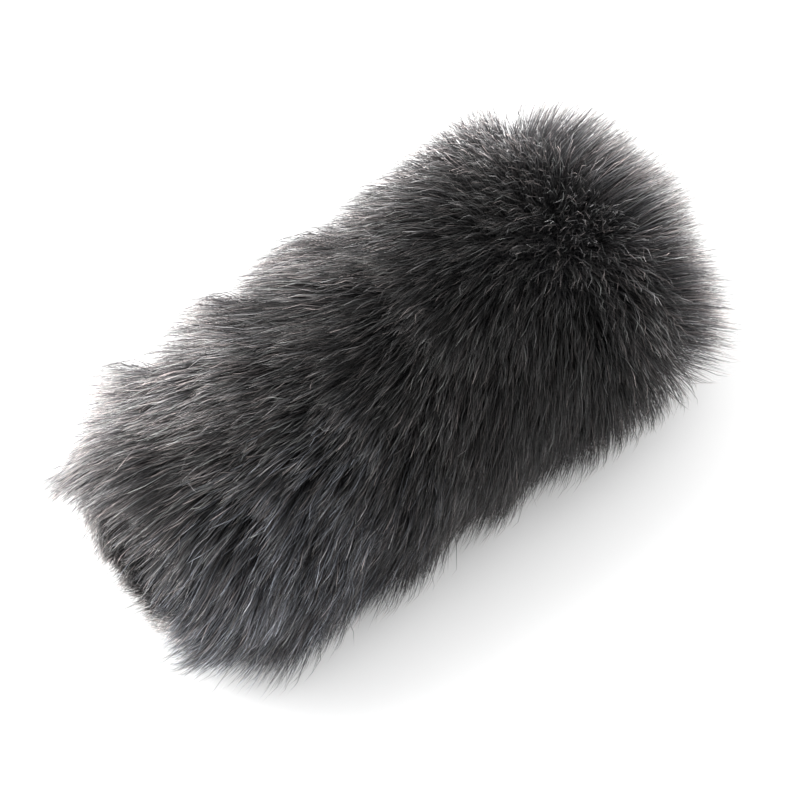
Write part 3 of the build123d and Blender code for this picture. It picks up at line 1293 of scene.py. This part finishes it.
    def build(self, looks: "Looks") -> list[Piece]:
        """Model and dress the cloth."""
        sleeve, panel = self.backing()
        nose_tape, back_tape = self.tapes()
        casing, elastic = self.hem()
        nose_thread = self.ring_of_stitches("nose_seam_thread", "nose_seam_stitches")
        hem_thread = self.ring_of_stitches("hem_thread", "hem_stitches")
        back_thread = self.back_stitching()
        label = self.label()
        for piece, node, slot, look in (
            (sleeve, "backing_sleeve", "backing_knit", looks.knit),
            (panel, "backing_nose", "backing_knit", looks.knit_panel),
            (nose_tape, "nose_seam_tape", "seam_tape", looks.tape),
            (back_tape, "back_seam_tape", "seam_tape", looks.tape),
            (casing, "hem_casing", "hem_tape", looks.hem),
            (elastic, "hem_elastic", "elastic", looks.elastic),
            (nose_thread, "nose_seam_stitches", "thread", looks.thread),
            (hem_thread, "hem_stitches", "thread", looks.thread),
            (back_thread, "back_seam_stitches", "thread", looks.thread),
            (label, "woven_label", "label_cloth", looks.label),
        ):
            dress(piece, "jacket", node, look)
        trims = [nose_tape, back_tape, casing, elastic, nose_thread, hem_thread, back_thread]
        return [sleeve, panel, *trims, label]


def dress(piece: Piece, body: str, node: str, look: bpy.types.Material) -> None:
    """Give a piece its finish and its body, and hide the CAD node that it stands for.

    Args:
        piece: the piece.
        body: the body that it rides on.
        node: the CAD node that it stands for.
        look: its material.
    """
    piece.data.materials.clear()
    piece.data.materials.append(look)
    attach(piece, body)
    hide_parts(node)


def repaint(node: str, look: bpy.types.Material) -> None:
    """Give a CAD node that stays its finish."""
    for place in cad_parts[node].material_slots:
        place.material = look


# Finishes


class Lay(Enum):
    """How a pattern lies on a piece."""

    ROUND = "round the axis"
    FRONT = "across the front"


class Graph:
    """The nodes of one material."""

    def __init__(self, name: str, roughness: float, **constants: float) -> None:
        """Start a material.

        Args:
            name: of the material.
            roughness: of its surface, where nothing drives it.
            constants: the shader's other values, by socket, with _ for a space.
        """
        self.made = bpy.data.materials.new(name)
        self.made.use_nodes = True
        self.nodes = self.made.node_tree.nodes
        self.links = self.made.node_tree.links
        self.shader = self.nodes["Principled BSDF"]
        self.shader.inputs["Roughness"].default_value = roughness
        for socket, value in constants.items():
            self.shader.inputs[socket.replace("_", " ")].default_value = value
        self.place = None

    def put(self, value: float | Socket, socket: Socket) -> None:
        """Set a socket to a number, or link it."""
        if isinstance(value, Socket):
            self.links.new(value, socket)
        else:
            socket.default_value = value

    def math(self, operation: str, *values: float | Socket) -> Socket:
        """A math node on sockets or numbers."""
        node = self.nodes.new("ShaderNodeMath")
        node.operation = operation
        for socket, value in zip(node.inputs, values):
            self.put(value, socket)
        return node.outputs["Value"]

    def ramp(
        self, value: Socket, stops: list[tuple[float, Colour]], step: bool = False
    ) -> Socket:
        """A colour that changes with a value.

        Args:
            value: what it follows, 0 to 1.
            stops: places and their colours.
            step: whether the colour jumps from stop to stop.

        Returns:
            The colour.
        """
        node = self.nodes.new("ShaderNodeValToRGB")
        node.color_ramp.interpolation = "CONSTANT" if step else "LINEAR"
        while len(node.color_ramp.elements) < len(stops):
            node.color_ramp.elements.new(0.5)
        for element, (position, colour) in zip(node.color_ramp.elements, stops):
            element.position = position
            element.color = (*colour, 1.0)
        self.links.new(value, node.inputs["Fac"])
        return node.outputs["Color"]

    def vector(
        self, operation: str, first: Socket, second: Socket
    ) -> Socket:
        """A vector node on two sockets, or a vector scaled by a value."""
        node = self.nodes.new("ShaderNodeVectorMath")
        node.operation = operation
        self.links.new(first, node.inputs[0])
        self.links.new(second, node.inputs["Scale" if operation == "SCALE" else 1])
        return node.outputs["Vector"]

    def coordinates(self) -> Socket:
        """The piece's Object coordinates."""
        if self.place is None:
            self.place = self.nodes.new("ShaderNodeTexCoord").outputs["Object"]
        return self.place

    def across(self, lay: Lay, across: float, along: float) -> tuple[Socket, Socket]:
        """Count a pattern's repeats across a piece.

        Args:
            lay: how the pattern lies.
            across: repeats round the axis, or the pitch in metres on the front.
            along: the other pitch, in metres.

        Returns:
            The two counts.
        """
        split = self.nodes.new("ShaderNodeSeparateXYZ")
        self.links.new(self.coordinates(), split.inputs["Vector"])
        if lay is Lay.FRONT:
            sideways = self.math("DIVIDE", split.outputs["Y"], across)
            return sideways, self.math("DIVIDE", split.outputs["Z"], along)
        angle = self.math("ARCTAN2", split.outputs["Z"], split.outputs["Y"])
        turns = self.math("MULTIPLY", angle, across / TURN)
        return turns, self.math("DIVIDE", split.outputs["X"], along)

    def wave(self, count: Socket, low: float = 0.0) -> Socket:
        """A sine of a count of repeats, from low to 1."""
        sine = self.math("SINE", self.math("MULTIPLY", count, TURN))
        return self.math("MULTIPLY_ADD", sine, (1.0 - low) / 2.0, (1.0 + low) / 2.0)

    def noise(self, size: float, detail: float = 3.0) -> Socket:
        """Noise with features of the given size, in metres."""
        node = self.nodes.new("ShaderNodeTexNoise")
        node.inputs["Scale"].default_value = 1.0 / size
        node.inputs["Detail"].default_value = detail
        self.links.new(self.coordinates(), node.inputs["Vector"])
        return node.outputs["Fac"]

    def mixed(
        self, colours: Socket, noise: Socket, amount: float
    ) -> Socket:
        """A colour made lighter and darker by noise."""
        factor = self.math("MULTIPLY_ADD", noise, 2.0 * amount, 1.0 - amount)
        return self.vector("SCALE", colours, factor)

    def finish(
        self,
        colour: Socket,
        height: Socket,
        depth: float,
        rough: Socket | None = None,
    ) -> bpy.types.Material:
        """Link colour, bump and roughness.

        Args:
            colour: the base colour.
            height: of the bump, 0 to 1.
            depth: of the bump, in metres.
            rough: the roughness, where it varies.

        Returns:
            The material.
        """
        self.links.new(colour, self.shader.inputs["Base Color"])
        bump = self.nodes.new("ShaderNodeBump")
        bump.inputs["Distance"].default_value = depth
        self.links.new(height, bump.inputs["Height"])
        self.links.new(bump.outputs["Normal"], self.shader.inputs["Normal"])
        if rough is not None:
            self.links.new(rough, self.shader.inputs["Roughness"])
        return self.made


def shades(colour: Colour, *levels: float) -> list[tuple[float, Colour]]:
    """Stops of one colour at several levels of brightness, evenly spread."""
    return [(i / (len(levels) - 1), tuple(c * level for c in colour)) for i, level in enumerate(levels)]


@dataclass(frozen=True)
class KnitFinish:
    """Knitted backing: columns of V-shaped loops.

    Attributes:
        name: of the material.
        lay: how the columns lie.
        columns: round the axis, or their pitch in metres on the front.
        rows: pitch of the rows, in metres.
        colour: of the yarn.
    """

    name: str
    lay: Lay
    columns: float
    rows: float
    colour: Colour = (0.035, 0.035, 0.038)

    def material(self) -> bpy.types.Material:
        """Build the node material."""
        graph = Graph(self.name, 0.85, Sheen_Weight=0.25, Sheen_Roughness=0.5, Specular_IOR_Level=0.3)
        across, along = graph.across(self.lay, self.columns, self.rows)
        leg = graph.math("ABSOLUTE", graph.math("SUBTRACT", graph.math("FRACT", across), 0.5))
        loops = graph.wave(graph.math("ADD", along, graph.math("MULTIPLY", leg, 1.3)))
        valley = graph.math("SINE", graph.math("MULTIPLY", leg, TURN))
        height = graph.math("MULTIPLY", loops, graph.math("ABSOLUTE", valley))
        # The colour follows the loops' height: painted shade darkens the valleys and a painted highlight
        # lightens the loop tops.
        painted_shade_and_highlight = graph.ramp(height, shades(self.colour, 0.35, 1.0, 1.5))
        colour = graph.mixed(painted_shade_and_highlight, graph.noise(9.0 * MM), 0.3)
        rough = graph.math("MULTIPLY_ADD", height, -0.12, 0.92)
        return graph.finish(colour, height, 0.3 * MM, rough)


@dataclass(frozen=True)
class WovenFinish:
    """Woven cloth or tape: threads over and under each other.

    Attributes:
        name: of the material.
        across: threads round the axis.
        along: pitch along the axis, in metres.
        colour: of the yarn.
        depth: of the weave, in metres.
        roughness: of the yarn.
        twisted: whether the pattern runs on a slant, as in thread.
    """

    name: str
    across: float
    along: float
    colour: Colour
    depth: float = 0.12 * MM
    roughness: float = 0.75
    twisted: bool = False

    def material(self) -> bpy.types.Material:
        """Build the node material."""
        graph = Graph(self.name, self.roughness, Sheen_Weight=0.2, Sheen_Roughness=0.45)
        across, along = graph.across(Lay.ROUND, self.across, self.along)
        if self.twisted:
            height = graph.wave(graph.math("ADD", across, along))
        else:
            over = graph.math("MULTIPLY", graph.wave(across, -1.0), graph.wave(along, -1.0))
            height = graph.math("MULTIPLY_ADD", over, 0.5, 0.5)
        # The colour follows the weave's height: painted shade darkens its low places and a painted
        # highlight lightens its high ones.
        painted_shade_and_highlight = graph.ramp(height, shades(self.colour, 0.4, 1.0, 1.35))
        colour = graph.mixed(painted_shade_and_highlight, graph.noise(4.0 * MM), 0.25)
        fuzz = graph.noise(0.5 * MM)
        rough = graph.math("MULTIPLY_ADD", fuzz, 0.2, self.roughness - 0.1)
        return graph.finish(colour, height, self.depth, rough)


@dataclass(frozen=True)
class MeshFinish:
    """Spacer mesh: a knitted face of small round holes, painted near black inside as painted shade for
    their depth.

    Attributes:
        name: of the material.
        lay: how the holes lie.
        across: holes round the axis, or their pitch in metres on the front.
        along: pitch of the rows of holes, in metres.
        colour: of the yarn.
    """

    name: str
    lay: Lay
    across: float
    along: float
    colour: Colour = (0.03, 0.03, 0.034)

    def material(self) -> bpy.types.Material:
        """Build the node material."""
        graph = Graph(self.name, 0.7, Sheen_Weight=0.15, Sheen_Roughness=0.4)
        across, along = graph.across(self.lay, self.across, self.along)
        slant = graph.math("MULTIPLY", along, 0.5)
        rising, falling = graph.math("ADD", across, slant), graph.math("SUBTRACT", across, slant)
        crossing = graph.math("MULTIPLY", graph.wave(rising, -1.0), graph.wave(falling, -1.0))
        holes = graph.math("MULTIPLY", graph.math("ABSOLUTE", crossing), 1.9)
        rim = graph.math("SUBTRACT", 1.0, graph.math("SMOOTH_MIN", holes, 1.0, 0.25))
        yarn = graph.wave(graph.math("MULTIPLY", graph.math("ADD", across, along), 4.0), 0.7)
        height = graph.math("MULTIPLY", rim, yarn)
        # Painted shade makes the holes near black and a painted highlight lightens the yarn's high places.
        painted_shade_and_highlight = graph.ramp(height, shades(self.colour, 0.08, 0.7, 1.3))
        colour = graph.mixed(painted_shade_and_highlight, graph.noise(12.0 * MM), 0.2)
        return graph.finish(colour, height, 0.35 * MM, graph.math("MULTIPLY_ADD", height, -0.2, 0.85))


@dataclass(frozen=True)
class MouldedFinish:
    """Moulded plastic or rubber with a fine grain, dulled in patches.

    Attributes:
        name: of the material.
        colour: of the compound.
        grain: size of the grain, in metres.
        depth: of the grain, in metres.
        gloss: roughness where it is clean.
        dull: how much rougher it is where it is handled.
    """

    name: str
    colour: Colour
    grain: float
    depth: float
    gloss: float
    dull: float

    def material(self) -> bpy.types.Material:
        """Build the node material."""
        graph = Graph(self.name, self.gloss, Specular_IOR_Level=0.28)
        grain = graph.noise(self.grain, 4.0)
        patches = graph.noise(14.0 * MM, 5.0)
        colour = graph.mixed(graph.ramp(patches, shades(self.colour, 0.75, 1.0, 1.5)), grain, 0.25)
        rough = graph.math("MULTIPLY_ADD", patches, self.dull, self.gloss)
        return graph.finish(colour, grain, self.depth, rough)


@dataclass(frozen=True)
class SteelFinish:
    """Drawn steel pins, with fine scratches round them."""

    colour: Colour = (0.5, 0.5, 0.51)

    def material(self) -> bpy.types.Material:
        """Build the node material."""
        graph = Graph("drawn_steel", 0.3, Metallic=1.0)
        scratches = graph.noise(0.25 * MM, 6.0)
        colour = graph.ramp(scratches, shades(self.colour, 0.8, 1.0, 1.1))
        return graph.finish(colour, scratches, 0.02 * MM, graph.math("MULTIPLY_ADD", scratches, 0.25, 0.22))


@dataclass(frozen=True)
class FoamFinish:
    """Open-cell foam: fine ribs, the pores between them darkened by painted shade."""

    colour: Colour = (0.06, 0.06, 0.065)
    pore: float = 0.9 * MM

    def material(self) -> bpy.types.Material:
        """Build the node material."""
        graph = Graph("open_cell_foam", 0.95, Specular_IOR_Level=0.2)
        cells = graph.nodes.new("ShaderNodeTexVoronoi")
        cells.feature = "DISTANCE_TO_EDGE"
        cells.inputs["Scale"].default_value = 1.0 / self.pore
        graph.links.new(graph.coordinates(), cells.inputs["Vector"])
        near = graph.math("MULTIPLY", cells.outputs["Distance"], 3.2)
        ribs = graph.math("SUBTRACT", 1.0, graph.math("MINIMUM", near, 1.0))
        # Painted shade darkens the pores and a painted highlight lightens the ribs.
        painted_shade_and_highlight = graph.ramp(ribs, shades(self.colour, 0.12, 0.5, 1.3))
        colour = graph.mixed(painted_shade_and_highlight, graph.noise(7.0 * MM), 0.2)
        return graph.finish(colour, ribs, 0.4 * MM, graph.math("MULTIPLY_ADD", ribs, -0.15, 1.0))


@dataclass(frozen=True)
class PileFinish:
    """Dyed hair: near black at the root, charcoal along the shaft, paler at the tip; the palest tip stops
    are partly the dye and partly painted light, the glow of backlit tips, and the tone read from the map
    carries the piles' painted light.

    Attributes:
        along: places from root to tip, each with its colour.
        darkest: factor on the darkest hair.
        contrast: the palest hair's factor over the darkest one's.
        roughness: of the fibre.
    """

    along: tuple[tuple[float, Colour], ...] = (
        (0.0, (0.003, 0.003, 0.0032)),
        (0.3, (0.006, 0.006, 0.0065)),
        (0.6, (0.016, 0.0157, 0.0168)),
        (0.8, (0.055, 0.0537, 0.0555)),
        (0.93, (0.2, 0.195, 0.196)),
        (1.0, (0.5, 0.485, 0.48)),
    )
    darkest: float = 0.17
    contrast: float = 60.0
    roughness: float = 0.45

    def material(self) -> bpy.types.Material:
        """Build the node material."""
        graph = Graph(
            "pile_dye_and_painted_light", self.roughness, Specular_IOR_Level=0.35, Sheen_Weight=0.06, Sheen_Roughness=0.4
        )
        place = graph.nodes.new("ShaderNodeUVMap")
        place.uv_map = "OFBake"
        split = graph.nodes.new("ShaderNodeSeparateXYZ")
        graph.links.new(place.outputs["UV"], split.inputs["Vector"])
        shaft = graph.ramp(split.outputs["Y"], list(self.along))
        tone = graph.math("POWER", self.contrast, split.outputs["X"])
        strength = graph.math("MULTIPLY", tone, self.darkest)
        shade = graph.vector("SCALE", shaft, strength)
        turn = graph.math("FRACT", graph.math("MULTIPLY", split.outputs["X"], float(TONES)))
        stops = [(i / len(DYES), tuple(0.8 * c for c in dye)) for i, dye in enumerate(DYES)]
        tint = graph.vector("MULTIPLY", shade, graph.ramp(turn, stops, step=True))
        graph.links.new(tint, graph.shader.inputs["Base Color"])
        return graph.made


@dataclass
class Looks:
    """Every finish of the windscreen, built once."""

    def __post_init__(self) -> None:
        """Build the materials."""
        self.pile = PileFinish().material()
        self.knit = KnitFinish("backing_knit", Lay.ROUND, 120.0, 1.3 * MM).material()
        self.knit_panel = KnitFinish("backing_knit_panel", Lay.FRONT, 1.55 * MM, 1.3 * MM).material()
        self.tape = WovenFinish("seam_binding", 180.0, 0.9 * MM, (0.02, 0.02, 0.022)).material()
        self.hem = WovenFinish("hem_binding", 260.0, 0.7 * MM, (0.018, 0.018, 0.02)).material()
        self.elastic = WovenFinish(
            "ribbed_elastic", 300.0, 0.7 * MM, (0.03, 0.03, 0.03), 0.1 * MM
        ).material()
        self.thread = WovenFinish(
            "sewing_thread", 220.0, 0.8 * MM, (0.06, 0.06, 0.066), 0.1 * MM, 0.45, True
        ).material()
        self.label = WovenFinish(
            "label_cloth", 420.0, 0.45 * MM, (0.05, 0.05, 0.053), 0.05 * MM, 0.6
        ).material()
        self.mesh = MeshFinish("spacer_mesh", Lay.ROUND, 40.0, 2.6 * MM).material()
        self.toe = MeshFinish("spacer_mesh_toe", Lay.FRONT, 4.4 * MM, 2.6 * MM).material()
        self.foam = FoamFinish().material()
        self.plastic = MouldedFinish(
            "basket_plastic", (0.013, 0.013, 0.0145), 0.35 * MM, 0.02 * MM, 0.42, 0.25
        ).material()
        self.rubber = MouldedFinish(
            "boot_rubber", (0.01, 0.01, 0.01), 0.5 * MM, 0.03 * MM, 0.55, 0.3
        ).material()
        self.steel = SteelFinish().material()


# Studio


@dataclass
class Studio:
    """Plain pale floor, soft lights and the camera.

    Attributes:
        sizes: the frame's measures.
        azimuth: of the camera, in degrees; 0 looks along +Y.
        elevation: of the camera, in degrees.
        distance: from the camera to the windscreen, in metres.
        view_width: width of what the camera sees at that distance, in metres.
    """

    sizes: Measures
    azimuth: float = -40.0
    elevation: float = 58.0
    distance: float = 1.5
    view_width: float = 0.2376
    aim: Colour = (0.0745, -0.0025, -0.003)

    def build(self) -> None:
        """Set up the floor, the lights and the camera."""
        self.floor()
        self.lights()
        self.camera()

    def floor(self) -> None:
        """A large pale floor under the windscreen."""
        bm = bmesh.new()
        bmesh.ops.create_grid(bm, x_segments=1, y_segments=1, size=6.0)
        bmesh.ops.translate(bm, verts=bm.verts[:], vec=(0.0, 0.0, self.sizes.rest_z - 0.1 * MM))
        mesh = bpy.data.meshes.new("floor")
        bm.to_mesh(mesh)
        bm.free()
        floor = bpy.data.objects.new("floor", mesh)
        bpy.context.scene.collection.objects.link(floor)
        made = bpy.data.materials.new("floor")
        made.use_nodes = True
        shader = made.node_tree.nodes["Principled BSDF"]
        shader.inputs["Base Color"].default_value = (0.96, 0.96, 0.96, 1.0)
        shader.inputs["Roughness"].default_value = 0.9
        mesh.materials.append(made)

    def lights(self) -> None:
        """Soft light from everywhere, and a large soft key from behind on the left."""
        world = bpy.data.worlds.new("studio")
        world.use_nodes = True
        world.node_tree.nodes["Background"].inputs["Color"].default_value = (1.0, 1.0, 1.0, 1.0)
        world.node_tree.nodes["Background"].inputs["Strength"].default_value = 1.2
        bpy.context.scene.world = world
        for name, place, size, power in (
            ("key", (-0.45, 0.95, 0.85), 1.3, 25.0),
            ("fill", (0.5, -0.6, 1.1), 1.3, 4.0),
        ):
            lamp = bpy.data.lights.new(name, "AREA")
            lamp.size = size
            lamp.energy = power
            light = bpy.data.objects.new(name, lamp)
            light.location = place
            light.rotation_euler = (Vector(self.aim) - Vector(place)).to_track_quat("-Z", "Y").to_euler()
            bpy.context.scene.collection.objects.link(light)

    def camera(self) -> None:
        """A long lens on the windscreen's right rear, from above."""
        turn = math.radians(self.azimuth)
        lift = math.radians(self.elevation)
        back = Vector((math.sin(turn) * math.cos(lift), -math.cos(turn) * math.cos(lift), math.sin(lift)))
        lens = bpy.data.cameras.new("camera")
        lens.sensor_width = 36.0
        lens.lens = 36.0 * self.distance / self.view_width
        lens.clip_end = 50.0
        camera = bpy.data.objects.new("camera", lens)
        camera.location = Vector(self.aim) + back * self.distance
        camera.rotation_euler = (-back).to_track_quat("-Z", "Y").to_euler()
        bpy.context.scene.collection.objects.link(camera)
        bpy.context.scene.camera = camera
        bpy.context.scene.view_settings.view_transform = "Standard"


def main() -> None:
    """Build the windscreen and its studio."""
    logging.basicConfig(level=logging.INFO, format="%(message)s")
    sizes = Measures.from_frame()
    LOG.info("%s", sizes)
    looks = Looks()
    fur = FurJacket(sizes).build()
    for piece in fur:
        node = "fur_nose" if piece.name.startswith("nose") else "fur_sleeve"
        dress(piece, "jacket", node, looks.pile)
    made = Basket().build(looks) + GripBoot().build(looks) + JacketCloth().build(looks)
    for piece in made:
        LOG.info("%s: %d faces", piece.name, len(piece.data.polygons))
    Studio(sizes).build()


if __name__ == "__main__":
    main()
